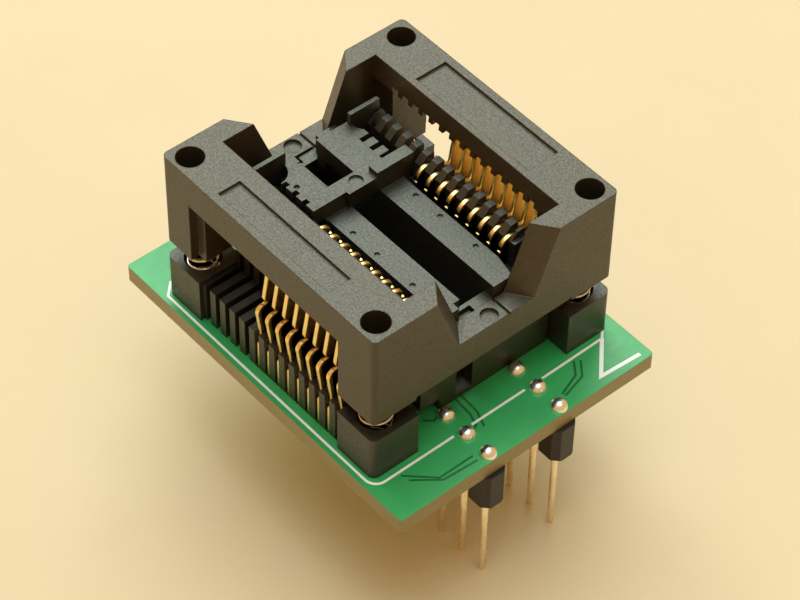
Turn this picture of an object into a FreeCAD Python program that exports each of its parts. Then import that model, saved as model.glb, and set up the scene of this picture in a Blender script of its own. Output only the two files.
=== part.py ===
import FreeCAD, Part
import os
import math

os.makedirs("parts", exist_ok=True)

V = FreeCAD.Vector

# Sizes in mm. Shapes are drawn about the middle of the socket, with z = 0 on the board's top face.
# The finished pieces are then moved so that the whole outline is centred and the pin tips stand at z = 0.
cut_beyond = 1.0

# Adapter board
board_length = 35.4
board_width = 27.2
board_thickness = 1.6
board_corner_radius = 0.3

# Pin headers under the board
header_pitch = 2.54
header_pins = 9
header_rows_apart = 7.62
header_last_pin_x = 16.88
header_width = 2.54
header_height = 2.54
header_notch = 0.55
header_pin_size = 0.64
header_pin_below = 10.8
header_pin_above = 0.5
header_pin_tip = 0.6
header_pin_top_chamfer = 0.3
header_pin_tip_size = 0.3
header_solder_radius = 0.78
header_solder_height = 0.72
header_hole_radius = 0.5

# Contact places
places = 14
place_pitch = 1.27
contacts = 9
contact_thickness = 0.4
contact_slot_width = 0.56
tail_outer_y = 12.06
tail_width = 0.5
tail_chamfer = 0.12
tail_point = 0.3
tail_below_board = 0.9
tail_hole_radius = 0.39
tail_solder_radius = 0.6
tail_solder_top_radius = 0.3
tail_solder_height = 0.7

# Base moulding
comb_end_margin = 0.545
comb_skin = 0.14
seat_inner_y = 1.47
seat_outer_y = 3.9
seat_top_z = 10.9
seat_end_reach = 2.2
seat_end_taper = 0.45
trench_floor_z = 9.0
tooth_inner_y = 5.2
tooth_outer_y = 6.7
tooth_top_z = 12.4
tooth_slope = 0.75
tooth_back_z = 10.2
comb_neck_y = 7.6
comb_neck_z = 9.8
comb_waist_y = 8.1
comb_waist_z = 7.5
comb_shoulder_y = 8.6
comb_shoulder_z = 6.9
rib_top_z = 4.1
end_tooth_outer_y = 7.15
end_tooth_top_z = 11.7
end_tooth_length = 0.45
slot_head_y = 4.6
slot_inner_y = 6.3
slot_step_z = 8.6
slot_step = 0.8
slot_floor_z = 1.2
slot_tail_gap = 0.08
channel_floor_z = 1.5
post_beyond_cover_x = 0.1
post_beyond_cover_y = 0.1
post_inner_gap = 0.05
post_top_z = 4.5
post_corner_radius = 0.7
end_wall_front_y = -5.9
end_wall_back_gap = 0.1
end_core = 1.1
end_shelf_z = 9.5
undercut_back_y = -3.85
undercut_height = 1.35
solder_channel_width = 2.2
solder_channel_height = 1.1
solder_channel_start_x = -4.8
solder_channel_end = 0.6
ejector_dot_radius = 0.25
ejector_dot_depth = 0.15
ejector_dot_y = 3.3
ejector_dot_xs = (-0.5, 2.5, 6.8)

# Contact stamping: a foot in the slot, a fixed arm under the chip's lead, and a spring beam that carries the
# lever and its head. Heights are counted from the board, widths across the metal.
foot_height = 1.2
arm_width = 0.96
arm_bend_z = 8.5
arm_tip_y = 4.38
arm_tip_below_seat = 0.22
tail_head_width = 0.86
tail_head_z = 2.85
beam_width = 0.46
beam_root_inset = 0.62
bend_radius = 0.53
bend_inset = 0.66
bend_z = 6.38
lever_foot_y = 9.4
lever_foot_z = 5.9
lever_foot_width = 1.2
lever_wide_y = 9.87
lever_wide_z = 7.6
lever_wide_width = 3.2
lever_top_y = 9.15
lever_top_gap = 0.05
lever_top_width = 0.45
head_crest_y = 5.35
head_crest_above_seat = 0.7
head_width = 0.58
head_tip_y = 4.58
head_tip_above_seat = 0.18
tip_width = 0.16

# Latch between base and cover
latch_slot_front_y = -2.13
latch_slot_back_y = -0.4
latch_slot_depth = 0.7
latch_window_depth = 0.7
latch_window_top_z = 4.2
latch_window_bottom_z = 0.6
latch_side_gap = 0.08
latch_top_gap = 0.05
latch_leg_top_z = 9.1
latch_hook_height = 0.95
latch_hook_lip = 0.3
latch_hook_reach = 0.5

# Cover moulding
slide_gap = 0.1
cover_end_wall = 2.0
cover_opening_half_width = 7.95
cover_bar_width = 4.6
cover_top_z = 16.0
cover_corner_radius = 0.5
cover_end_bottom_z = 6.7
cover_window_margin = 1.0
bar_skirt_bottom_z = 12.7
bar_skirt_thickness = 0.85
bar_ceiling_z = 14.35
bar_tooth_bottom_z = 13.85
bar_bevel = 0.3
bar_lip_reach = 0.35
bar_lip_back = 0.55
bar_lip_chamfer = 0.2
bar_notch_width = 0.75
bar_notch_reach = 2.15
bridge_top_z = 9.7
gap_top_inner_y = 4.8
gap_top_outer_y = 6.3
gap_bottom_y = 2.4
column_inner_gap = 0.25
press_travel = 1.9
press_stop_gap = 0.02
corner_hole_radius = 1.2
corner_hole_inset_x = 1.7
corner_hole_inset_y = 1.57
corner_hole_depth = 4.0
label_half_length = 6.8
label_edge = 0.75
label_front_width = 2.2
label_back_width = 3.2
label_depth = 0.25
bridge_groove_y = 1.35
bridge_groove_width = 0.22
bridge_groove_depth = 0.25
bridge_dimple_radius = 0.75
bridge_dimple_depth = 0.3
bridge_dimple_inset = 0.9

# Cover springs
spring_inset_x = 2.1
spring_inset_y = 2.05
spring_mean_radius = 1.3
spring_wire_radius = 0.15
spring_bottom_z = 1.0
spring_top_z = 9.6
spring_turns = 8
spring_runs = 12
spring_wire_sides = 6
post_bore_radius = 1.6
cover_bore_radius = 1.75

# Chip stop
stop_end_reach = 0.6
stop_contact_gap = 0.975
stop_side_gap = 0.1
stop_recess_depth = 0.1
stop_recess_gap = 0.05
stop_top_z = 12.4
stop_front_step = 0.35
stop_front_step_y = -1.7
stop_window_end = 1.75
stop_window_front_y = -2.65
stop_window_back_y = 0.2
stop_bar_width = 1.1
stop_bar_front_y = 1.25
stop_bar_height = 0.5
stop_back_edge_y = 4.0
stop_fin_gap = 0.05
stop_fin_thickness = 0.4
stop_fin_inner_y = 3.4
stop_fin_outer_y = 6.5
stop_fin_top_z = 13.6
stop_pocket_radius = 1.5
stop_notch_width = 0.5
stop_notch_front_y = 4.65
stop_notch_back_y = 2.95
stop_dimple_radius = 0.62
stop_dimple_inset = 0.87
stop_dimple_y = -0.27
stop_dimple_depth = 0.2
stop_dot_x = -6.2
stop_dot_y = -4.4
stop_key_gap = 0.05
stop_key_height = 1.2
stop_key_length = 1.0
stop_key_inset = 0.45

# Places that follow from the sizes above
header_first_pin_x = header_last_pin_x - header_pitch * (header_pins - 1)
header_end_x = header_last_pin_x + header_pitch / 2
socket_x = (board_length / 2 - header_end_x) / 2
board_top_z = header_pin_below + header_height + board_thickness
header_bottom_z = -board_thickness - header_height
tail_inner_y = tail_outer_y - tail_width
tail_middle_y = tail_outer_y - tail_width / 2
tail_end_z = -board_thickness - tail_below_board
first_place_x = -place_pitch * (places - 1) / 2
first_contact_x = first_place_x + place_pitch * (places - contacts)
comb_half_length = -first_place_x + comb_end_margin
comb_outer_y = tail_outer_y + comb_skin
seat_half_length = comb_half_length + seat_end_reach
end_core_x = seat_half_length - end_core
latch_slot_x = seat_half_length - latch_slot_depth
latch_window_x = latch_slot_x - latch_window_depth
cover_opening_half_length = seat_half_length + slide_gap
cover_half_length = cover_opening_half_length + cover_end_wall
cover_half_width = cover_opening_half_width + cover_bar_width
cover_window_left_x = -comb_half_length - cover_window_margin
cover_window_right_x = comb_half_length
bar_lip_y = cover_opening_half_width - bar_lip_reach
bar_lip_outer_y = cover_opening_half_width + bar_lip_back
column_inner_y = cover_opening_half_width + column_inner_gap
column_bottom_z = post_top_z + press_travel + press_stop_gap
post_inner_y = cover_opening_half_width + post_inner_gap
post_outer_x = cover_half_length + post_beyond_cover_x
post_outer_y = cover_half_width + post_beyond_cover_y
end_wall_back_y = cover_opening_half_width - end_wall_back_gap
spring_x = cover_half_length - spring_inset_x
spring_y = cover_half_width - spring_inset_y
corner_hole_x = cover_half_length - corner_hole_inset_x
corner_hole_y = cover_half_width - corner_hole_inset_y
bridge_dimple_x = cover_half_length - bridge_dimple_inset
stop_left_x = -comb_half_length - stop_end_reach
stop_right_x = first_contact_x - stop_contact_gap
stop_half_width = tooth_inner_y - stop_side_gap
stop_bar_left_x = stop_right_x - stop_bar_width
stop_bottom_z = seat_top_z - stop_recess_depth


def block(x0, x1, y0, y1, z0, z1):
    """Box between two corners."""
    return Part.makeBox(x1 - x0, y1 - y0, z1 - z0, V(x0, y0, z0))


def round_bar(radius, x, y, z0, z1):
    """Upright cylinder."""
    return Part.makeCylinder(radius, z1 - z0, V(x, y, z0))


def prism(corners, along):
    """Solid swept from a flat outline of corners along a vector."""
    face = Part.Face(Part.makePolygon(corners + corners[:1]))
    return face.extrude(along)


def rounded_plate(half_x, half_y, radius, z0, z1):
    """Upright block with four rounded corners."""
    plate = block(-half_x, half_x, -half_y, half_y, z0, z1)
    corners = [e for e in plate.Edges if abs(e.Vertexes[0].Z - e.Vertexes[-1].Z) > (z1 - z0) / 2]
    return plate.makeFillet(radius, corners)


def profile_along_x(points, x0, x1):
    """Solid with the given outline of (y, z) points, from x0 to x1."""
    return prism([V(x0, y, z) for y, z in points], V(x1 - x0, 0, 0))


def profile_up(points, z0, z1):
    """Solid with the given outline of (x, y) points, from z0 to z1."""
    return prism([V(x, y, z0) for x, y in points], V(0, 0, z1 - z0))


def mirror_x(shape):
    """The same shape at the other end of the socket."""
    return shape.mirror(V(0, 0, 0), V(1, 0, 0))


def mirror_y(shape):
    """The same shape on the other side of the socket's middle line."""
    return shape.mirror(V(0, 0, 0), V(0, 1, 0))


def both_ends(shape):
    """Shape with its mirror image at the other end."""
    return [shape, mirror_x(shape)]


def both_sides(shape):
    """Shape with its mirror image on the other side."""
    return [shape, mirror_y(shape)]


def four_corners(shape):
    """Shape with its mirror images in the other three corners."""
    return both_sides(shape) + both_sides(mirror_x(shape))


def moved(shape, x, y):
    """Copy of the shape moved level by x and y."""
    one = shape.copy()
    one.translate(V(x, y, 0))
    return one


def save(name, shape):
    """Move the piece to the part's frame and write it."""
    placed = shape.copy()
    placed.translate(V(socket_x, 0, board_top_z))
    placed.exportStep("parts/" + name + ".step")


def header_xs():
    return [header_first_pin_x + header_pitch * i for i in range(header_pins)]


def contact_xs():
    return [first_contact_x + place_pitch * i for i in range(contacts)]


def place_xs():
    return [first_place_x + place_pitch * i for i in range(places)]


def make_board():
    """Bare board with plated holes for the header pins and the contact tails."""
    plate = rounded_plate(board_length / 2, board_width / 2, board_corner_radius, -board_thickness, 0)
    low = -board_thickness - cut_beyond
    pin_hole = round_bar(header_hole_radius, 0, header_rows_apart / 2, low, cut_beyond)
    tail_hole = round_bar(tail_hole_radius, 0, tail_middle_y, low, cut_beyond)
    holes = []
    for hole, xs in ((pin_hole, header_xs()), (tail_hole, contact_xs())):
        for x in xs:
            holes += both_sides(moved(hole, x, 0))
    return plate.cut(holes)


def make_header_strip():
    """Row of eight-sided insulator blocks in one moulding, with square pin holes."""
    half = header_width / 2
    flat = half - header_notch
    outline = [(-flat, -half), (flat, -half), (half, -flat), (half, flat)]
    outline += [(flat, half), (-flat, half), (-half, flat), (-half, -flat)]
    cell = profile_up(outline, header_bottom_z, header_bottom_z + header_height)
    cells = [moved(cell, x, 0) for x in header_xs()]
    reach = header_pin_size / 2
    hole = block(-reach, reach, -reach, reach, header_bottom_z - cut_beyond, cut_beyond)
    strip = cells[0].fuse(cells[1:]).removeSplitter()
    return strip.cut([moved(hole, x, 0) for x in header_xs()])


def make_header_pin():
    """Square pin with a tapered tip at each end, standing at x = 0, y = 0."""
    half = header_pin_size / 2
    bottom = header_bottom_z - header_pin_below
    top = header_pin_above
    low = bottom + header_pin_tip
    high = top - header_pin_top_chamfer
    shaft = block(-half, half, -half, half, low, high)
    ends = []
    for wide_z, narrow_z in ((low, bottom), (high, top)):
        wires = []
        for z, r in ((wide_z, half), (narrow_z, header_pin_tip_size / 2)):
            corners = [V(-r, -r, z), V(r, -r, z), V(r, r, z), V(-r, r, z)]
            wires.append(Part.makePolygon(corners + corners[:1]))
        ends.append(Part.makeLoft(wires, True, True))
    return shaft.fuse(ends)


def make_header_solder(pin):
    """Domes of solder on the board's top, one round each header pin."""
    sphere_radius = (header_solder_radius ** 2 + header_solder_height ** 2) / (2 * header_solder_height)
    ball = Part.makeSphere(sphere_radius, V(0, 0, header_solder_height - sphere_radius))
    reach = sphere_radius * 2
    dome = ball.common(block(-reach, reach, -reach, reach, 0, reach)).cut(pin)
    domes = []
    for x in header_xs():
        domes += both_sides(moved(dome, x, header_rows_apart / 2))
    return Part.makeCompound(domes)


def make_contact_solder(tail):
    """Cones of solder under the board, one round each contact tail."""
    start = V(0, tail_middle_y, -board_thickness)
    cone = Part.makeCone(tail_solder_radius, tail_solder_top_radius, tail_solder_height, start, V(0, 0, -1))
    cone = cone.cut(tail)
    cones = []
    for x in contact_xs():
        cones += both_sides(moved(cone, x, 0))
    return Part.makeCompound(cones)


def bow(y, z, radius, start, end, steps):
    """Points on an arc about (y, z), from one angle to another in degrees."""
    angles = [math.radians(start + (end - start) * i / steps) for i in range(steps + 1)]
    return [(y + radius * math.cos(a), z + radius * math.sin(a)) for a in angles]


def strap(path):
    """Flat strip of metal at x = 0 that follows (y, z, width) points along its middle."""
    left = []
    right = []
    for i, (y, z, width) in enumerate(path):
        before = path[max(i - 1, 0)]
        after = path[min(i + 1, len(path) - 1)]
        run_y = after[0] - before[0]
        run_z = after[1] - before[1]
        half = width / 2 / math.hypot(run_y, run_z)
        left.append((y - run_z * half, z + run_y * half))
        right.append((y + run_z * half, z - run_y * half))
    half = contact_thickness / 2
    return profile_along_x(left + right[::-1], -half, half)


def blade(path):
    """Upright flat blade of metal at x = 0, given as (y, z, width) points with level widths."""
    left = [(y - width / 2, z) for y, z, width in path]
    right = [(y + width / 2, z) for y, z, width in path]
    half = contact_thickness / 2
    return profile_along_x(left + right[::-1], -half, half)


def make_contact_foot():
    """Foot of the contact in its slot, with the solder tail going down through the board."""
    half = contact_thickness / 2
    arm_inner_y = slot_inner_y + arm_width / 4
    outline = [(arm_inner_y, slot_floor_z), (tail_inner_y, slot_floor_z),
               (tail_inner_y, tail_end_z + tail_point), (tail_inner_y + tail_chamfer, tail_end_z),
               (tail_outer_y - tail_chamfer, tail_end_z),
               (tail_outer_y, tail_end_z + tail_point), (tail_outer_y, slot_floor_z + foot_height),
               (arm_inner_y, slot_floor_z + foot_height)]
    return profile_along_x(outline, -half, half)


def make_contact():
    """One blanked contact at x = 0 on the back side."""
    foot_top_z = slot_floor_z + foot_height
    arm_y = slot_inner_y + arm_width * 3 / 4
    arm_tip_z = seat_top_z - arm_tip_below_seat
    arm = [(arm_y, slot_floor_z, arm_width), (arm_y, arm_bend_z, arm_width)]
    for share, rise, width in ((0.08, 0.35, 0.8), (0.25, 0.6, 0.62), (0.48, 0.74, 0.5), (0.74, 0.87, 0.42)):
        arm.append((arm_y + (arm_tip_y - arm_y) * share, arm_bend_z + (arm_tip_z - arm_bend_z) * rise, width))
    arm.append((arm_tip_y, arm_tip_z, tip_width))

    tail_head = [(tail_outer_y - tail_head_width / 2, foot_top_z - foot_height / 4, tail_head_width),
                 (tail_outer_y - tail_head_width / 2, tail_head_z, tail_head_width)]
    beam = [(tail_outer_y - beam_root_inset, tail_head_z - beam_width / 2, beam_width)]
    for y, z in bow(tail_outer_y - bend_inset, bend_z, bend_radius, -20, 120, 7):
        beam.append((y, z, beam_width))
    beam.append((lever_foot_y + lever_foot_width / 4, lever_foot_z + beam_width / 2, beam_width))

    top_z = bar_ceiling_z - lever_top_gap
    lever = [(lever_foot_y, lever_foot_z, lever_foot_width)]
    middle = ((lever_foot_y + lever_wide_y) / 2, (lever_foot_z + lever_wide_z) / 2)
    lever.append((*middle, lever_wide_width * 0.7))
    lever.append((lever_wide_y, lever_wide_z, lever_wide_width))
    for share, lean, width in ((0.2, 0.37, 3.25), (0.43, 0.5, 2.9), (0.66, 0.64, 2.25), (0.85, 0.76, 1.45),
                               (0.955, 0.9, 0.95)):
        y = lever_wide_y + (lever_top_y - lever_wide_y) * lean
        lever.append((y, lever_wide_z + (top_z - lever_wide_z) * share, width))
    lever.append((lever_top_y, top_z, lever_top_width))

    crest_z = seat_top_z + head_crest_above_seat
    root_y = lever_wide_y - lever_wide_width / 3
    root_z = lever_wide_z + lever_wide_width / 2
    head = []
    for share, rise, width in ((0, 0, 1.7), (0.35, 0.42, 1.15), (0.55, 0.64, 0.74), (0.77, 0.88, 0.62),
                               (0.9, 0.99, 0.6), (1, 1, head_width)):
        head.append((root_y + (head_crest_y - root_y) * share, root_z + (crest_z - root_z) * rise, width))
    tip_z = seat_top_z + head_tip_above_seat
    head.append(((head_crest_y + head_tip_y * 2) / 3, (crest_z * 2 + tip_z) / 3, head_width * 0.75))
    head.append((head_tip_y, tip_z, tip_width))
    straps = [blade(tail_head), strap(arm), strap(beam), blade(lever), strap(head)]
    return make_contact_foot().fuse(straps).removeSplitter()


def comb_outline():
    """Section of the base through one comb rib, back side."""
    return [
        (seat_inner_y, 0), (comb_outer_y, 0), (comb_outer_y, rib_top_z),
        (comb_shoulder_y + post_inner_gap, rib_top_z), (comb_shoulder_y, comb_shoulder_z),
        (comb_waist_y, comb_waist_z), (comb_neck_y, comb_neck_z), (tooth_outer_y, tooth_back_z),
        (tooth_outer_y, tooth_top_z), (tooth_inner_y + tooth_slope, tooth_top_z),
        (tooth_inner_y, tooth_top_z - tooth_slope), (tooth_inner_y, trench_floor_z),
        (seat_outer_y, trench_floor_z), (seat_outer_y, seat_top_z), (seat_inner_y, seat_top_z),
    ]


def slot_outline():
    """Section of one contact slot in the comb, back side."""
    wall_y = tail_inner_y - slot_tail_gap
    beyond = comb_outer_y + cut_beyond
    top = tooth_top_z + cut_beyond
    return [
        (wall_y, -cut_beyond), (beyond, -cut_beyond), (beyond, top), (slot_head_y, top),
        (slot_head_y, slot_step_z + slot_step), (slot_inner_y - slot_step / 2, slot_step_z + slot_step),
        (slot_inner_y, slot_step_z), (slot_inner_y, slot_floor_z), (wall_y, slot_floor_z),
    ]


def make_seat():
    """Long bare seat of the chip nest, back side, narrowed at both ends."""
    narrow_y = seat_outer_y - seat_end_taper
    outline = [(-seat_half_length, seat_inner_y), (seat_half_length, seat_inner_y),
               (seat_half_length, narrow_y), (comb_half_length, seat_outer_y),
               (-comb_half_length, seat_outer_y), (-seat_half_length, narrow_y)]
    return profile_up(outline, 0, seat_top_z)


def make_post():
    """Corner post for one cover spring, +X back corner, rounded outside."""
    post = block(comb_half_length, post_outer_x, post_inner_y, post_outer_y, 0, post_top_z)
    edges = []
    for edge in post.Edges:
        middle = edge.CenterOfMass
        if math.isclose(middle.x, post_outer_x) and math.isclose(middle.y, post_outer_y):
            edges.append(edge)
    return post.makeFillet(post_corner_radius, edges)


def make_end_wall():
    """+X end wall of the base, undercut at the front."""
    wall = block(end_core_x, seat_half_length, end_wall_front_y, end_wall_back_y, 0, end_shelf_z)
    return wall.cut(block(end_core_x, seat_half_length + cut_beyond, end_wall_front_y - cut_beyond,
                          undercut_back_y, -cut_beyond, undercut_height))


def make_latch_cuts():
    """Slot for the cover's latch leg in the +X end wall, and the window that its hook slides in."""
    outside = seat_half_length + cut_beyond
    slot = block(latch_slot_x, outside, latch_slot_front_y, latch_slot_back_y,
                 latch_window_bottom_z, seat_top_z + cut_beyond)
    window = block(latch_window_x, outside, latch_slot_front_y, latch_slot_back_y,
                   latch_window_bottom_z, latch_window_top_z)
    return [slot, window]


def base_solids():
    """Everything that stands in the base moulding before its slots and bores are cut."""
    reach = end_core_x
    solids = [block(-reach, reach, -seat_inner_y, seat_inner_y, 0, channel_floor_z)]
    solids += both_sides(profile_along_x(comb_outline(), -comb_half_length, comb_half_length))
    solids += both_sides(make_seat())
    low_y = seat_outer_y - seat_end_taper
    solids += both_sides(block(-reach, reach, low_y, end_wall_back_y, 0, trench_floor_z))
    solids += both_sides(block(-reach, reach, low_y, post_inner_y, 0, post_top_z))
    end_tooth = block(comb_half_length, comb_half_length + end_tooth_length, tooth_inner_y, end_tooth_outer_y,
                      0, end_tooth_top_z)
    solids += four_corners(end_tooth)
    solids += four_corners(make_post())
    solids += both_ends(make_end_wall())
    return solids


def base_cuts():
    """Slots, bores, solder channels and small marks of the base."""
    cuts = []
    for cut in make_latch_cuts():
        cuts += both_ends(cut)
    cuts += four_corners(round_bar(post_bore_radius, spring_x, spring_y, spring_bottom_z,
                                   post_top_z + cut_beyond))
    half = contact_slot_width / 2
    slot = profile_along_x(slot_outline(), -half, half)
    for x in place_xs():
        cuts += both_sides(moved(slot, x, 0))
    half = solder_channel_width / 2
    row_y = header_rows_apart / 2
    channel = block(solder_channel_start_x, seat_half_length - solder_channel_end, row_y - half, row_y + half,
                    -cut_beyond, solder_channel_height)
    cuts += both_sides(channel)
    for x in ejector_dot_xs:
        cuts += both_sides(round_bar(ejector_dot_radius, x, ejector_dot_y, seat_top_z - ejector_dot_depth,
                                     seat_top_z + cut_beyond))
    cuts.append(block(stop_left_x - stop_recess_gap, stop_right_x + stop_recess_gap,
                      -seat_outer_y, seat_outer_y, stop_bottom_z, seat_top_z + cut_beyond))
    return cuts


def make_base():
    """Base moulding: plinth, combs, seats, end walls and spring posts."""
    solids = base_solids()
    return solids[0].fuse(solids[1:]).removeSplitter().cut(base_cuts())


def stop_fin_x():
    """Left face of the chip stop's upright fins, clear of the comb's first rib."""
    return -comb_half_length - stop_fin_gap - stop_fin_thickness


def stop_solids():
    """Plate, raised bar, fins and keys of the chip stop."""
    half = stop_half_width
    step_x = stop_right_x - stop_front_step
    outline = [(stop_left_x, -half), (step_x, -half), (step_x, stop_front_step_y),
               (stop_right_x, stop_front_step_y), (stop_right_x, half), (stop_left_x, half)]
    solids = [profile_up(outline, stop_bottom_z, stop_top_z)]
    solids.append(block(stop_bar_left_x, stop_right_x, stop_bar_front_y, half,
                        stop_bottom_z, stop_top_z + stop_bar_height))
    fin = block(stop_fin_x(), stop_fin_x() + stop_fin_thickness, stop_fin_inner_y, stop_fin_outer_y,
                end_tooth_top_z, stop_fin_top_z)
    solids += both_sides(fin)
    key_half = seat_inner_y - stop_key_gap
    key_right_x = step_x - stop_key_inset
    for x in (stop_fin_x(), key_right_x - stop_key_length):
        solids.append(block(x, x + stop_key_length, -key_half, key_half, seat_top_z - stop_key_height,
                            stop_top_z))
    return solids


def stop_cuts():
    """Open window, corner pockets, edge notches and round marks of the chip stop."""
    low = seat_top_z - stop_key_height - cut_beyond
    high = stop_fin_top_z + cut_beyond
    half = stop_half_width
    pocket_x = stop_fin_x() + stop_fin_thickness
    cuts = [block(stop_left_x - cut_beyond, stop_right_x - stop_window_end, stop_window_front_y,
                  stop_window_back_y, low, high)]
    corner = round_bar(stop_pocket_radius, pocket_x, half, low, high)
    cuts += both_sides(corner.common(block(pocket_x, pocket_x + half, 0, half * 2, low, high)))
    cuts.append(block(pocket_x, stop_bar_left_x, stop_back_edge_y, half + cut_beyond, low, high))
    reach = stop_notch_width / 2
    for x in place_xs():
        if pocket_x + stop_pocket_radius < x < stop_bar_left_x:
            cuts.append(block(x - reach, x + reach, -half - cut_beyond, -stop_notch_front_y, low, high))
            cuts.append(block(x - reach, x + reach, stop_notch_back_y, half + cut_beyond, low, high))
    bottom = stop_top_z - stop_dimple_depth
    cuts.append(round_bar(stop_dimple_radius, stop_right_x - stop_dimple_inset, stop_dimple_y, bottom, high))
    cuts.append(round_bar(ejector_dot_radius, stop_dot_x, stop_dot_y, bottom, high))
    return cuts


def make_chip_stop():
    """Forked block that fills the unused end of the nest and stops the chip."""
    solids = stop_solids()
    return solids[0].fuse(solids[1:]).removeSplitter().cut(stop_cuts())


def make_end_gap():
    """Room cut out of the cover's +X end wall above the bridge, with leaning flanks."""
    top = cover_top_z + cut_beyond
    lean = (gap_top_inner_y - gap_bottom_y) / (cover_top_z - bridge_top_z)
    skew = (gap_top_outer_y - gap_top_inner_y) / cover_end_wall
    wires = []
    for x in (cover_opening_half_length - cover_end_wall / 4, cover_half_length + cover_end_wall / 4):
        shift = skew * (x - cover_opening_half_length)
        low = gap_bottom_y + shift
        high = gap_top_inner_y + shift + lean * cut_beyond
        corners = [V(x, -low, bridge_top_z), V(x, low, bridge_top_z), V(x, high, top), V(x, -high, top)]
        wires.append(Part.makePolygon(corners + corners[:1]))
    return Part.makeLoft(wires, True, True)


def make_latch_leg():
    """Latch leg of the cover in the +X latch slot, with its hook."""
    y0 = latch_slot_front_y + latch_side_gap
    y1 = latch_slot_back_y - latch_side_gap
    hook_top = latch_window_top_z - latch_top_gap
    bottom = hook_top - latch_hook_height
    inner = latch_slot_x + latch_side_gap
    outer = seat_half_length - latch_side_gap
    leg = block(inner, outer, y0, y1, bottom, latch_leg_top_z)
    root = block(inner, cover_opening_half_length + slide_gap, y0, y1, cover_end_bottom_z, latch_leg_top_z)
    tip = inner - latch_hook_reach
    hook = [(outer, bottom), (outer, hook_top), (tip, hook_top), (tip, hook_top - latch_hook_lip),
            (inner, bottom)]
    barb = prism([V(x, y0, z) for x, z in hook], V(0, y1 - y0, 0))
    return leg.fuse([root, barb])


def bar_cut_outline():
    """Room under one long bar between skirt and lip, back side, as (y, z) points."""
    skirt_y = cover_half_width - bar_skirt_thickness
    low = column_bottom_z - cut_beyond
    beyond = cover_half_width + cut_beyond
    inside = bar_lip_y - cut_beyond
    return [(inside, low), (inside, bar_tooth_bottom_z), (bar_lip_outer_y, bar_tooth_bottom_z),
            (bar_lip_outer_y + bar_bevel, bar_ceiling_z), (skirt_y - bar_bevel, bar_ceiling_z),
            (skirt_y, bar_ceiling_z - bar_bevel), (skirt_y, bar_skirt_bottom_z),
            (beyond, bar_skirt_bottom_z), (beyond, low)]


def bridge_cuts():
    """Groove and round recess on top of the +X bridge."""
    half = bridge_groove_width / 2
    high = bridge_top_z + cut_beyond
    groove = block(cover_opening_half_length - cut_beyond, cover_half_length + cut_beyond,
                   bridge_groove_y - half, bridge_groove_y + half, bridge_top_z - bridge_groove_depth, high)
    dimple = round_bar(bridge_dimple_radius, bridge_dimple_x, 0, bridge_top_z - bridge_dimple_depth, high)
    return [groove, dimple]


def cover_cuts():
    """Openings, end gaps, bores and recesses of the cover frame."""
    low = column_bottom_z - cut_beyond
    high = cover_top_z + cut_beyond
    cuts = [block(-cover_opening_half_length, cover_opening_half_length,
                  -cover_opening_half_width, cover_opening_half_width, low, high)]
    cuts.append(block(-cover_half_length - cut_beyond, cover_half_length + cut_beyond,
                      -column_inner_y, column_inner_y, low, cover_end_bottom_z))
    column_x = -comb_half_length - slide_gap
    cuts += both_sides(profile_along_x(bar_cut_outline(), column_x, cover_window_right_x))
    skirt_y = cover_half_width - bar_skirt_thickness
    cuts += both_sides(block(cover_window_left_x, cover_window_right_x, skirt_y,
                             cover_half_width + cut_beyond, low, bar_skirt_bottom_z))
    cuts += both_ends(make_end_gap())
    cuts += four_corners(round_bar(cover_bore_radius, spring_x, spring_y, low, spring_top_z))
    cuts += four_corners(round_bar(corner_hole_radius, corner_hole_x, corner_hole_y,
                                   cover_top_z - corner_hole_depth, high))
    for cut in bridge_cuts():
        cuts += both_ends(cut)
    for side, width in ((-1, label_front_width), (1, label_back_width)):
        outer = side * (cover_half_width - label_edge)
        y0, y1 = sorted((outer, outer - side * width))
        cuts.append(block(-label_half_length, label_half_length, y0, y1, cover_top_z - label_depth, high))
    return cuts


def make_cover():
    """Cover frame: two long bars, two end walls with bridges, four spring columns."""
    body = rounded_plate(cover_half_length, cover_half_width, cover_corner_radius,
                         column_bottom_z, cover_top_z)
    frame = body.cut(cover_cuts())
    inside = cover_opening_half_width + slide_gap
    lip = [(bar_lip_y, bar_tooth_bottom_z), (inside, bar_tooth_bottom_z),
           (inside, cover_top_z - bar_lip_chamfer), (cover_opening_half_width, cover_top_z)]
    reach = cover_opening_half_length + slide_gap
    lips = both_sides(profile_along_x(lip, -reach, reach))
    frame = frame.fuse(lips + both_ends(make_latch_leg())).removeSplitter()
    half = bar_notch_width / 2
    notch = block(-half, half, bar_lip_y - cut_beyond, cover_opening_half_width + bar_notch_reach,
                  bar_tooth_bottom_z - cut_beyond, bar_ceiling_z)
    notches = []
    for x in place_xs():
        notches += both_sides(moved(notch, x, 0))
    return frame.cut(notches)


def make_spring():
    """Coil spring at x = 0, y = 0, standing in its post bore: a wire swept along a turning path."""
    start = spring_bottom_z + spring_wire_radius
    height = spring_top_z - spring_wire_radius - start
    count = spring_turns * spring_runs
    path = []
    for i in range(count + 1):
        turn = 2 * math.pi * i / spring_runs
        path.append(V(spring_mean_radius * math.cos(turn), spring_mean_radius * math.sin(turn),
                      start + height * i / count))
    ahead = (path[1] - path[0]).normalize()
    across = V(0, 0, 1).cross(ahead).normalize()
    rise = ahead.cross(across)
    ring = []
    for i in range(spring_wire_sides):
        turn = 2 * math.pi * i / spring_wire_sides
        ring.append(path[0] + across * (spring_wire_radius * math.cos(turn))
                    + rise * (spring_wire_radius * math.sin(turn)))
    return Part.makePolygon(path).makePipeShell([Part.makePolygon(ring + ring[:1])], True, False, 1)


save("board", make_board())

strip = make_header_strip()
pin = make_header_pin()
for name, side in (("front", -1), ("back", 1)):
    y = side * header_rows_apart / 2
    save(name + "_header_strip", moved(strip, 0, y))
    for number, x in enumerate(header_xs(), 1):
        save("header_pin_" + name + "_" + str(number), moved(pin, x, y))
save("header_solder", make_header_solder(pin))

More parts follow.
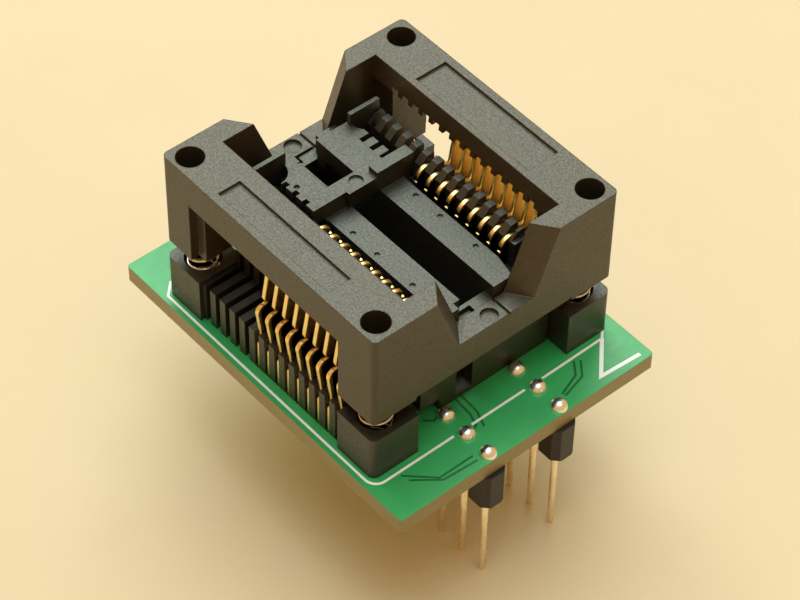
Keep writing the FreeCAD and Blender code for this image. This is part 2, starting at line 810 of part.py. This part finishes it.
save("base", make_base())
save("chip_stop", make_chip_stop())
save("cover", make_cover())

contact = make_contact()
for name, shape in (("front", mirror_y(contact)), ("back", contact)):
    for number, x in enumerate(contact_xs(), 1):
        save("contact_" + name + "_" + str(number), moved(shape, x, 0))
save("contact_solder", make_contact_solder(contact))

spring = make_spring()
for row, sy in (("front", -1), ("back", 1)):
    for column, sx in (("left", -1), ("right", 1)):
        save("spring_" + row + "_" + column, moved(spring, sx * spring_x, sy * spring_y))
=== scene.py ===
import math
from collections import Counter

import bpy
import numpy as np
from mathutils import Matrix, Vector


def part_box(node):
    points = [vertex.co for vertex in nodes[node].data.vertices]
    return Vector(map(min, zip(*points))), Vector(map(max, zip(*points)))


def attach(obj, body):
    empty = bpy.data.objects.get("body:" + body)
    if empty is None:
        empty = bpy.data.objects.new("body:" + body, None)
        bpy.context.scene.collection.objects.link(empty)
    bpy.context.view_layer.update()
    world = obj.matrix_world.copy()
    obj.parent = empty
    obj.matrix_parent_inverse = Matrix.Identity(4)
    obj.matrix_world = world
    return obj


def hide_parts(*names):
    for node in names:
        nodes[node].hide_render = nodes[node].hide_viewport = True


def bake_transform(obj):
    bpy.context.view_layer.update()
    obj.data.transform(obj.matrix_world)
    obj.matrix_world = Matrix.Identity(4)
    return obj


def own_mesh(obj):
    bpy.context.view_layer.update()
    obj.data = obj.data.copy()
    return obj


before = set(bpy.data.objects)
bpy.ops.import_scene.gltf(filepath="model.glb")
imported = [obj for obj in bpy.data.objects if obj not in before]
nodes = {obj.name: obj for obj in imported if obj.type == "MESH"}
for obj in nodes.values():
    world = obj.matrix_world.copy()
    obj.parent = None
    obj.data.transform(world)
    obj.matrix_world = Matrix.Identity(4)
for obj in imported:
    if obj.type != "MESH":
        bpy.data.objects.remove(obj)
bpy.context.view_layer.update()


# ADAPTER BOARD
# Glass-fibre board, sawn and drilled, with green solder mask on both faces. The cut edge shows the bare
# layered laminate.
MM = 0.001
board_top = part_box("board")[1].z


def stretch(tree, value, source, target=(0.0, 1.0)):
    """Output that runs over the target range while the value runs over the source range."""
    node = tree.nodes.new("ShaderNodeMapRange")
    for socket, limit in zip(("From Min", "From Max", "To Min", "To Max"), source + target):
        node.inputs[socket].default_value = limit
    tree.links.new(value, node.inputs["Value"])
    return node.outputs["Result"]


def mix_tones(tree, factor, first, last):
    """Colour output between two tones, each of them a colour or the output of another node."""
    node = tree.nodes.new("ShaderNodeMix")
    node.data_type = "RGBA"
    tree.links.new(factor, node.inputs["Factor"])
    for socket, tone in zip((6, 7), (first, last)):
        if isinstance(tone, tuple):
            node.inputs[socket].default_value = (*tone, 1)
        else:
            tree.links.new(tone, node.inputs[socket])
    return node.outputs[2]


def finish(name, dark, light, gloss, metal=0.0, patch=900.0, grain=9000.0, bump=0.12, edge=0.0, sheen=0.5,
           tint=(1.0, 1.0, 1.0)):
    """Surface on object coordinates: its colour drifts between two tones with a slow noise, and its
    roughness and relief follow a fine one. Patch and grain are the noises' scales per metre, and edge rounds
    the rims by that many mm."""
    slow_detail, fine_detail = 5.0, 3.0
    noise_roughness = 0.6
    slow_range, fine_range = (0.3, 0.7), (0.35, 0.65)
    relief_depth = 0.05 * MM
    rim_samples = 4
    material = bpy.data.materials.new(name)
    material.use_nodes = True
    tree = material.node_tree
    shader = tree.nodes["Principled BSDF"]
    place = tree.nodes.new("ShaderNodeTexCoord").outputs["Object"]
    noises = []
    for scale, detail in ((patch, slow_detail), (grain, fine_detail)):
        noise = tree.nodes.new("ShaderNodeTexNoise")
        noise.inputs["Scale"].default_value = scale
        noise.inputs["Detail"].default_value = detail
        noise.inputs["Roughness"].default_value = noise_roughness
        tree.links.new(place, noise.inputs["Vector"])
        noises.append(noise.outputs["Fac"])
    slow, fine = noises
    tones = mix_tones(tree, stretch(tree, slow, slow_range), dark, light)
    tree.links.new(tones, shader.inputs["Base Color"])
    tree.links.new(stretch(tree, fine, fine_range, gloss), shader.inputs["Roughness"])
    shader.inputs["Metallic"].default_value = metal
    shader.inputs["Specular IOR Level"].default_value = sheen
    shader.inputs["Specular Tint"].default_value = (*tint, 1)
    relief = tree.nodes.new("ShaderNodeBump")
    relief.inputs["Strength"].default_value = bump
    relief.inputs["Distance"].default_value = relief_depth
    tree.links.new(fine, relief.inputs["Height"])
    if edge:
        rim = tree.nodes.new("ShaderNodeBevel")
        rim.samples = rim_samples
        rim.inputs["Radius"].default_value = edge * MM
        tree.links.new(rim.outputs["Normal"], relief.inputs["Normal"])
    tree.links.new(relief.outputs["Normal"], shader.inputs["Normal"])
    return material


def paint(material, *names):
    """Give CAD nodes this one material."""
    for name in names:
        mesh = nodes[name].data
        mesh.materials.clear()
        mesh.materials.append(material)


def board_finish():
    """Green mask where a face looks up or down, wavy layers of laminate on the upright edges."""
    laminate_dark, laminate_light = (0.20, 0.180, 0.072), (0.26, 0.235, 0.100)
    layers_per_metre = 900.0
    layer_waviness = 2.0
    level_limit = 0.5
    material = finish("board_green", dark=(0.026, 0.34, 0.100), light=(0.036, 0.41, 0.125),
                      gloss=(0.34, 0.46), patch=250.0, grain=2500.0, bump=0.05, edge=0.1, sheen=0.6)
    tree = material.node_tree
    colour = tree.nodes["Principled BSDF"].inputs["Base Color"]
    mask = colour.links[0].from_socket
    split = tree.nodes.new("ShaderNodeSeparateXYZ")
    tree.links.new(tree.nodes.new("ShaderNodeNewGeometry").outputs["True Normal"], split.inputs["Vector"])
    slope = tree.nodes.new("ShaderNodeMath")
    slope.operation = "ABSOLUTE"
    tree.links.new(split.outputs["Z"], slope.inputs[0])
    level = tree.nodes.new("ShaderNodeMath")
    level.operation = "GREATER_THAN"
    level.inputs[1].default_value = level_limit
    tree.links.new(slope.outputs["Value"], level.inputs[0])
    layers = tree.nodes.new("ShaderNodeTexWave")
    layers.bands_direction = "Z"
    layers.inputs["Scale"].default_value = layers_per_metre
    layers.inputs["Distortion"].default_value = layer_waviness
    tree.links.new(tree.nodes["Texture Coordinate"].outputs["Object"], layers.inputs["Vector"])
    laminate = mix_tones(tree, layers.outputs["Fac"], laminate_dark, laminate_light)
    tree.links.new(mix_tones(tree, level.outputs["Value"], laminate, mask), colour)
    return material


paint(board_finish(), "board")


# BOARD PRINT
# White screen-printed outline round the socket with a corner mark, and the narrow gaps beside copper tracks
# that show dark through the mask. All are thin layers on the board's top face.
scene = bpy.context.scene
base_low, base_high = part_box("base")
socket_x = (base_low.x + base_high.x) / 2
socket_middle = np.array((socket_x, 0.0, board_top))
print_x = 13.83
print_y = 13.05
print_corner = 1.1
print_slant_x = 12.2
dome_y = 3.81
dome_reach = 0.95
mark = (13.76, 11.45)


def add_piece(name, points, faces, material, body, flat_faces=()):
    """New object that rides on one body, from points in metres and faces of point numbers; all but the flat
    faces are smooth. Without a body it rides on none."""
    mesh = bpy.data.meshes.new(name)
    mesh.from_pydata(points.tolist(), [], faces)
    mesh.materials.append(material)
    smooth = np.ones(len(faces), bool)
    smooth[list(flat_faces)] = False
    mesh.polygons.foreach_set("use_smooth", smooth)
    mesh.validate()
    mesh.update()
    piece = bpy.data.objects.new(name, mesh)
    scene.collection.objects.link(piece)
    if body:
        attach(piece, body)
    return piece


def grid_faces(rows, columns, closed=True):
    """Quads between neighbouring rows of points; a closed row also joins its last point to its first."""
    start = np.arange(rows - 1)[:, None] * columns
    here = np.arange(columns if closed else columns - 1)
    there = (here + 1) % columns
    quads = np.stack((start + here, start + there, start + columns + there, start + columns + here), axis=-1)
    return quads.reshape(-1, 4).tolist()


def print_line(path, width, height):
    """Strip along a path on the board: its profile, up, across and down, is set off to both sides by half the
    width, mitred at the bends. Returns its points and faces."""
    runs = np.diff(path, axis=0)
    runs /= np.linalg.norm(runs, axis=1)[:, None]
    before = np.vstack((runs[:1], runs))
    after = np.vstack((runs, runs[-1:]))
    middle = before + after
    middle /= np.linalg.norm(middle, axis=1)[:, None]
    side = np.column_stack((-middle[:, 1], middle[:, 0]))
    side *= (width / 2 / np.sum(middle * after, axis=1))[:, None]
    profile_side = np.array((1, 1, -1, -1))
    profile_z = np.array((0.0, height, height, 0.0))
    rows = path[:, None] + side[:, None] * profile_side[:, None]
    points = np.dstack((rows, np.broadcast_to(profile_z, rows.shape[:2]))).reshape(-1, 3)
    faces = grid_faces(len(path), len(profile_z), closed=False)
    first_end = np.arange(len(profile_z))
    last_end = first_end + len(points) - len(profile_z)
    return points, faces + [first_end[::-1].tolist(), last_end.tolist()]


def add_print(name, lines, width, height, material):
    """One piece on the board from several printed lines, with points in mm about the socket's middle."""
    points = np.empty((0, 3))
    faces = []
    for line in lines:
        strip, quads = print_line(np.array(line), width, height)
        faces += (np.array(quads) + len(points)).tolist()
        points = np.vstack((points, strip))
    points = points * MM + socket_middle
    add_piece(name, points, faces, material, "socket_body", range(len(faces)))


def corner_bow(x, y, start):
    """Quarter circle of the outline's corner radius about a point, from a start angle in degrees."""
    bow_points = 9
    angles = np.radians(start + np.linspace(0, 90, bow_points))
    return np.column_stack((x + print_corner * np.cos(angles), y + print_corner * np.sin(angles)))


socket_outline = np.vstack(((print_x, -dome_y - dome_reach),
                            corner_bow(print_x - print_corner, -print_y + print_corner, -90)[::-1],
                            (-print_x + print_corner, -print_y), (-print_x, -print_y + print_corner),
                            corner_bow(-print_x + print_corner, print_y - print_corner, 90)[::-1],
                            (print_slant_x, print_y), mark))
outline_end = [mark, (print_x, dome_y + dome_reach)]
between_domes = [(print_x, dome_y - dome_reach), (print_x, -dome_y + dome_reach)]
corner_mark = [mark, (16.73, 8.59), (17.0, 12.7)]
track_gaps = [[(14.2, -10.6), (16.3, -8.4), (16.3, -4.9)], [(14.96, -10.4), (16.64, -8.3), (16.87, -4.9)],
              [(10.9, -2.1), (12.8, -2.2), (14.1, -2.6), (14.3, -3.2)],
              [(10.9, -1.5), (13.0, -1.6), (14.6, -2.2)],
              [(14.4, 8.5), (15.75, 7.4), (16.4, 4.95)], [(14.1, 8.0), (15.3, 7.1), (16.1, 4.9)],
              [(11.0, -5.6), (11.6, -4.9), (11.4, -4.2)]]
white_ink = finish("white_ink", dark=(0.80, 0.90, 0.92), light=(0.90, 0.98, 1.0), gloss=(0.5, 0.65),
                   patch=1500.0, grain=9000.0, bump=0.2)
gap_green = finish("gap_green", dark=(0.007, 0.120, 0.034), light=(0.010, 0.150, 0.042), gloss=(0.3, 0.4),
                   patch=400.0, grain=4000.0, bump=0.05)
add_print("board_outline", [socket_outline, outline_end, between_domes], width=0.22, height=0.020,
          material=white_ink)
add_print("board_mark", [corner_mark], width=0.34, height=0.022, material=white_ink)
add_print("board_track_gaps", track_gaps, width=0.20, height=0.006, material=gap_green)


# HEADERS AND SOLDER
# Two rows of plated round pins in black breakaway insulators under the board. Each pin is pushed through its
# hole and soldered on top in a shiny uneven dome; the contacts' tails are soldered below.
quarter_turn = np.radians((90, 60, 30, 0))


def tube_faces(rows, columns):
    """Quads round closed rows of points, then one face over each end."""
    first_end = list(range(columns))
    last_end = list(range(columns * (rows - 1), columns * rows))
    return grid_faces(rows, columns) + [first_end[::-1], last_end]


def make_pin(node, material):
    """Round pin: a circle at heights up its axis, whose radius grows along a quarter circle from a blunt tip
    to the full shank."""
    shank = 0.28 * MM
    tip = 0.16 * MM
    around = 16
    low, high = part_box(node)
    centre = (low + high) / 2
    z = np.append(low.z + tip * (1 - np.sin(quarter_turn)), high.z)
    radius = np.append(shank - tip * (1 - np.cos(quarter_turn)), shank)
    turn = np.linspace(0, 2 * math.pi, around, endpoint=False)
    points = np.dstack((centre.x + radius[:, None] * np.cos(turn), centre.y + radius[:, None] * np.sin(turn),
                        np.broadcast_to(z[:, None], (len(z), around)))).reshape(-1, 3)
    faces = tube_faces(len(z), around)
    piece = add_piece("round_" + node, points, faces, material, "socket_body", (-2, -1))
    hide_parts(node)


def make_insulator(node, material):
    """Row of eight-sided blocks in one moulding: their joint outline, drawn in a little at the lower rim,
    from under the board down to the height of the real header."""
    pitch = 2.54 * MM
    notch = 0.55 * MM
    height = 3.8 * MM
    rim = 0.2 * MM
    low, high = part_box(node)
    half = (high.y - low.y) / 2
    middle = (high.y + low.y) / 2
    count = round((high.x - low.x) / pitch)
    block_x = low.x + pitch * np.arange(count)[:, None] + (0, notch, pitch - notch)
    block_y = np.tile((notch - half, -half, -half), count)
    front = np.column_stack((np.append(block_x, high.x), np.append(block_y, notch - half)))
    outline = np.vstack((front, front[::-1] * (1, -1)))
    drawn_in = outline - np.sign(outline) * (0, rim)
    rows = np.stack((drawn_in, outline, outline)) + (0, middle)
    levels = high.z - np.array((height, height - rim, 0.0))
    points = np.dstack((rows, np.broadcast_to(levels[:, None], rows.shape[:2]))).reshape(-1, 3)
    faces = tube_faces(len(levels), len(outline))
    piece = add_piece("block_" + node, points, faces, material, "socket_body",
                      range(len(faces)))
    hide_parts(node)


header_black = finish("header_black", dark=(0.006, 0.006, 0.005), light=(0.011, 0.010, 0.008),
                      gloss=(0.35, 0.5), patch=800.0, grain=5000.0, bump=0.1, edge=0.12)
pin_plating = finish("pin_plating", dark=(0.84, 0.70, 0.48), light=(0.97, 0.85, 0.64), gloss=(0.24, 0.40),
                     metal=1.0, patch=700.0, grain=2500.0, bump=0.04)
solder_bright = finish("solder_bright", dark=(0.82, 0.90, 0.94), light=(0.94, 1.0, 1.0), gloss=(0.20, 0.38),
                       metal=1.0, patch=1500.0, grain=2500.0, bump=0.35)
for name in ("front_header_strip", "back_header_strip"):
    make_insulator(name, header_black)
for name in [n for n in nodes if n.startswith("header_pin")]:
    make_pin(name, pin_plating)
paint(solder_bright, "header_solder", "contact_solder")


# SOCKET BASE AND CHIP STOP
# Black glass-filled plastic, each moulded in one piece. The stop sits at one end of the nest.
base_black = finish("base_black", dark=(0.008, 0.0070, 0.0045), light=(0.014, 0.0120, 0.0085),
                    gloss=(0.34, 0.54), patch=900.0, grain=5500.0, bump=0.45, edge=0.05, sheen=0.95,
                    tint=(0.88, 0.88, 0.77))
paint(base_black, "base", "chip_stop")


# CONTACTS
# Blanked from sheet and gold plated. The outline is the CAD contact's own, with its corners cut to soft bends
# and its rims rolled over. In the real socket each one bends between the base and the cover that presses on
# its lever; here each keeps one shape and rides on no body.
def contact_outline(node):
    """Outline of a CAD contact as ordered (y, z) points, from the open edges of the side that looks along +X,
    and the x of both of its sides."""
    digits = 3
    tolerance = 0.001 * MM
    mesh = nodes[node].data
    places = [nodes[node].matrix_world @ v.co for v in mesh.vertices]
    high = max(p.x for p in places)
    keys = [(round(p.y / MM, digits), round(p.z / MM, digits)) for p in places]
    uses = Counter()
    for polygon in mesh.polygons:
        loop = list(polygon.vertices)
        if all(abs(places[i].x - high) < tolerance for i in loop):
            uses.update((keys[i], keys[j]) for i, j in zip(loop, loop[1:] + loop[:1]))
    follow = {here: there for (here, there), count in uses.items() if count > uses[(there, here)]}
    outline = [min(follow)]
    while follow[outline[-1]] != outline[0] and len(outline) < len(follow):
        outline.append(follow[outline[-1]])
    return np.array(outline) * MM, min(p.x for p in places), high


def soften(outline, reach):
    """Outline with each corner replaced by two points, set back along both sides by a quarter of the side or
    by the reach, whichever is less."""
    before = np.roll(outline, 1, axis=0) - outline
    after = np.roll(outline, -1, axis=0) - outline
    sides = np.stack((before, after), axis=1)
    length = np.linalg.norm(sides, axis=2, keepdims=True)
    return (outline[:, None] + sides / length * np.minimum(length / 4, reach)).reshape(-1, 2)


def make_contact(node, material):
    """Blade with rolled rims: the outline at levels across the metal, drawn in near both faces along a
    quarter circle, and closed by a flat face on either side."""
    rim = 0.10 * MM
    bend_reaches = (0.16 * MM, 0.07 * MM)
    outline, low, high = contact_outline(node)
    for reach in bend_reaches:
        outline = soften(outline, reach)
    ahead = np.roll(outline, -1, axis=0) - np.roll(outline, 1, axis=0)
    ahead /= np.linalg.norm(ahead, axis=1)[:, None]
    outward = np.column_stack((ahead[:, 1], -ahead[:, 0]))
    level = high - rim * (1 - np.sin(quarter_turn))
    level = np.append(level, low + high - level[::-1])
    inset = rim * (1 - np.cos(quarter_turn))
    inset = np.append(inset, inset[::-1])
    rows = outline - outward * inset[:, None, None]
    points = np.dstack((np.broadcast_to(level[:, None], rows.shape[:2]), rows)).reshape(-1, 3)
    faces = [face[::-1] for face in tube_faces(len(level), len(outline))]
    piece = add_piece("gold_" + node, points, faces, material, None, (-2, -1))
    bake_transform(piece)
    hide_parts(node)


contact_gold = finish("contact_gold", dark=(0.88, 0.63, 0.22), light=(0.98, 0.80, 0.38), gloss=(0.28, 0.42),
                      metal=1.0, patch=900.0, grain=3000.0, bump=0.05)
for name in [n for n in nodes if n.startswith("contact_") and n != "contact_solder"]:
    make_contact(name, contact_gold)


# SPRINGS
# Four coil springs of drawn wire with closed ends. Each stands in a corner post of the base and reaches up
# into the cover. The real one shortens as the cover is pressed; here the wire keeps one length and rides
# with the socket body.
def make_spring(node, material):
    """Round wire along a helix. Its height rises slowly near both ends and evenly between, so that the first
    and last turns lie nearly flat. Each ring of wire stands square to the helix."""
    wire = 0.15 * MM
    wire_sides = 7
    turns = 8.75
    steps_per_turn = 40
    closed_share = 0.09
    closed_slope = 0.22
    low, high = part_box(node)
    centre = (low + high) / 2
    radius = (high.x - low.x) / 2 - wire
    steps = int(turns * steps_per_turn)
    t = np.linspace(0, 1, steps + 1)
    ease = np.clip(t / closed_share, 0, 1) * np.clip((1 - t) / closed_share, 0, 1)
    rise = np.append(0, np.cumsum((closed_slope + (1 - closed_slope) * ease[1:]) / steps))
    z = low.z + wire + (high.z - low.z - 2 * wire) * rise / rise[-1]
    turn = 2 * math.pi * turns * t + (0 if centre.x > 0 else math.pi)
    path = np.column_stack((centre.x + radius * np.cos(turn), centre.y + radius * np.sin(turn), z))
    ahead = np.gradient(path, axis=0)
    ahead /= np.linalg.norm(ahead, axis=1)[:, None]
    out = np.column_stack((np.cos(turn), np.sin(turn), np.zeros(len(turn))))
    up = np.cross(out, ahead)
    round_wire = np.linspace(0, 2 * math.pi, wire_sides, endpoint=False)[:, None]
    rows = path[:, None] + wire * (np.cos(round_wire) * out[:, None] + np.sin(round_wire) * up[:, None])
    points = rows.reshape(-1, 3)
    faces = tube_faces(steps + 1, wire_sides)
    piece = add_piece("wire_" + node, points, faces, material, "socket_body", (-2, -1))
    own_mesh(piece)
    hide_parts(node)


spring_wire = finish("spring_wire", dark=(0.56, 0.51, 0.42), light=(0.84, 0.80, 0.70), gloss=(0.18, 0.30),
                     metal=1.0, patch=900.0, grain=8000.0, bump=0.08)
for name in [n for n in nodes if n.startswith("spring_")]:
    make_spring(name, spring_wire)


# COVER
# Black glass-filled plastic frame, moulded in one piece and snapped over the base by its legs. Its tops carry
# a fine sheen from the mould's spark-eroded face.
cover_black = finish("cover_black", dark=(0.021, 0.0140, 0.0055), light=(0.033, 0.0225, 0.0092),
                     gloss=(0.34, 0.56), patch=1500.0, grain=5500.0, bump=0.50, edge=0.12, sheen=0.95,
                     tint=(0.84, 0.85, 0.75))
paint(cover_black, "cover")


# SPRING BORE WALLS
# Thin walls of the cover's two left columns, moulded with them, where the spring bore comes close to the open
# side.
def column_bottom():
    """Height of the lowest cover points in the left corners, clear of the latch legs."""
    corner_x, corner_y = 12.0 * MM, 11.0 * MM
    cover = nodes["cover"]
    points = [cover.matrix_world @ v.co for v in cover.data.vertices]
    return min(p.z for p in points if p.x < socket_x - corner_x and abs(p.y) > corner_y)


def make_bore_wall(name, side, material):
    """Upright strip between the bore and the open side: a rectangle at the column's bottom and at the top of
    the bore."""
    left, right = 9.88 * MM, 9.62 * MM
    inner, outer = 11.60 * MM, 11.71 * MM
    bore_depth = 4.3 * MM
    x0, x1 = socket_x - left, socket_x - right
    y0, y1 = sorted((side * inner, side * outer))
    levels = (column_bottom(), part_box("cover")[1].z - bore_depth)
    points = np.array([(x, y, z) for z in levels for x, y in ((x0, y0), (x1, y0), (x1, y1), (x0, y1))])
    faces = tube_faces(len(levels), 4)
    add_piece(name, points, faces, material, "cover_body", range(len(faces)))


make_bore_wall("bore_wall_front", -1, cover_black)
make_bore_wall("bore_wall_back", 1, cover_black)


# FLOOR, ROOM AND LIGHT
# Flat sheet of warm cream paper in a warm room, lit by a wide soft window behind the part, a little to the
# left, and by a smaller soft light above.
def make_stage():
    """Square of paper, over two metres wide."""
    half = 1.2
    corners = [(-half, -half, 0), (half, -half, 0), (half, half, 0), (-half, half, 0)]
    mesh = bpy.data.meshes.new("floor_sheet")
    mesh.from_pydata(corners, [], [(0, 1, 2, 3)])
    mesh.materials.append(finish("cream_paper", dark=(0.652, 0.552, 0.378), light=(0.690, 0.584, 0.400),
                                 gloss=(0.8, 0.95), patch=30.0, grain=1500.0, bump=0.03))
    sheet = bpy.data.objects.new("floor_sheet", mesh)
    scene.collection.objects.link(sheet)


def make_room():
    """Surroundings that turn from a warm glow near the horizon to a pale one towards the zenith."""
    horizon_glow, zenith_glow = (0.80, 0.38, 0.12), (0.60, 0.56, 0.42)
    turnover = (0.45, 0.85)
    world = bpy.data.worlds.new("studio")
    scene.world = world
    world.use_nodes = True
    tree = world.node_tree
    split = tree.nodes.new("ShaderNodeSeparateXYZ")
    tree.links.new(tree.nodes.new("ShaderNodeTexCoord").outputs["Generated"], split.inputs["Vector"])
    glow = mix_tones(tree, stretch(tree, split.outputs["Z"], turnover), horizon_glow, zenith_glow)
    tree.links.new(glow, tree.nodes["Background"].inputs["Color"])


def add_light(name, place, size, watts):
    """Square soft light of a cool white, aimed at the part."""
    cool_white = (0.82, 0.95, 0.94)
    target = Vector((0, 0, 0.02))
    light = bpy.data.lights.new(name, "AREA")
    light.size = size
    light.energy = watts
    light.color = cool_white
    lamp = bpy.data.objects.new(name, light)
    scene.collection.objects.link(lamp)
    turn = (target - Vector(place)).to_track_quat("-Z", "Y").to_matrix()
    lamp.matrix_world = Matrix.Translation(place) @ turn.to_4x4()


make_stage()
make_room()
add_light("window_light", place=(-0.29, 0.175, 0.45), size=0.46, watts=2.75)
add_light("ceiling_light", place=(0.06, -0.04, 0.60), size=0.36, watts=1.35)


# CAMERA
# The view of the photograph: from the front right, looking down on the open cover.
def view_matrix(place, yaw, pitch, roll):
    """Camera matrix at a place, looking along a heading and down by a pitch, turned about its line of
    sight."""
    y, p, r = (math.radians(a) for a in (yaw, pitch, roll))
    ahead = Vector((math.cos(p) * math.cos(y), math.cos(p) * math.sin(y), -math.sin(p)))
    level = ahead.cross(Vector((0, 0, 1))).normalized()
    rise = level.cross(ahead)
    right = math.cos(r) * level + math.sin(r) * rise
    up = -math.sin(r) * level + math.cos(r) * rise
    turn = Matrix((right, up, -ahead)).transposed()
    return Matrix.Translation(place) @ turn.to_4x4()


camera = bpy.data.objects.new("camera", bpy.data.cameras.new("camera"))
camera.data.sensor_width = 36.0
camera.data.lens = 131.73
camera.data.clip_start = 0.01
camera_place = Vector((0.12262, -0.10641, 0.19473))
camera.matrix_world = view_matrix(camera_place, yaw=138.733, pitch=47.707, roll=1.132)
scene.collection.objects.link(camera)
scene.camera = camera
scene.view_settings.view_transform = "Standard"
